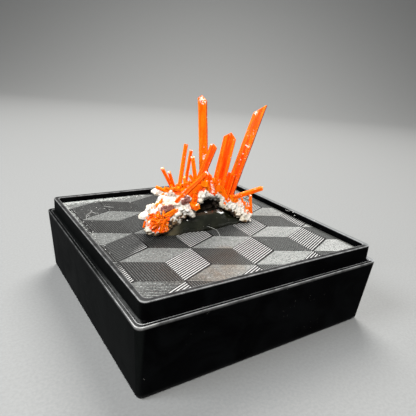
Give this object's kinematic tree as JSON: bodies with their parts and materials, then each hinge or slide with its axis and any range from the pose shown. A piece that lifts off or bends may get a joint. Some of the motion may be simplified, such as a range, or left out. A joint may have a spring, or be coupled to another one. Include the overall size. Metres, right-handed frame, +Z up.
{
  "type": "crocoite on matrix in a display base",
  "caption": "Orange-red crocoite prisms on pale crusted matrix, set with putty on a patterned panel in the black base of a small square display box.",
  "frame": {"origin": "middle of the display base's flat underside", "axes": "+Z up through the open side of the base; X along the specimen, with the tall leaning crystal towards +X; Y across it, with the arch and the putty's bare front towards -Y"},
  "size_m": [0.045, 0.045, 0.0369],
  "materials": {
    "base_plastic": "satin black moulded plastic",
    "panel_print": "grey tumbling-blocks line relief",
    "putty": "dark olive putty, pressed smooth",
    "matrix_crust": "white and cream crust over brown rock",
    "crocoite": "translucent orange crystal, adamantine",
    "crocoite_red": "translucent red-orange crystal, adamantine"
  },
  "bodies": {
    "root": {"box_base": "base_plastic", "pattern_panel": "panel_print", "mounting_putty": "putty", "matrix": "matrix_crust", "crystal_tall_left": "crocoite", "crystal_broad": "crocoite_red", "crystal_tall_right": "crocoite", "crystal_short_middle": "crocoite_red", "crystal_diagonal": "crocoite_red", "crystal_back_left_1": "crocoite", "crystal_back_left_2": "crocoite", "crystal_back_left_3": "crocoite", "crystal_pair_left": "crocoite", "crystal_low_right": "crocoite", "crystal_pair_right": "crocoite", "crystal_crossing": "crocoite", "crystal_block": "crocoite_red", "crystal_wedge": "crocoite"}
  },
  "joints": []
}
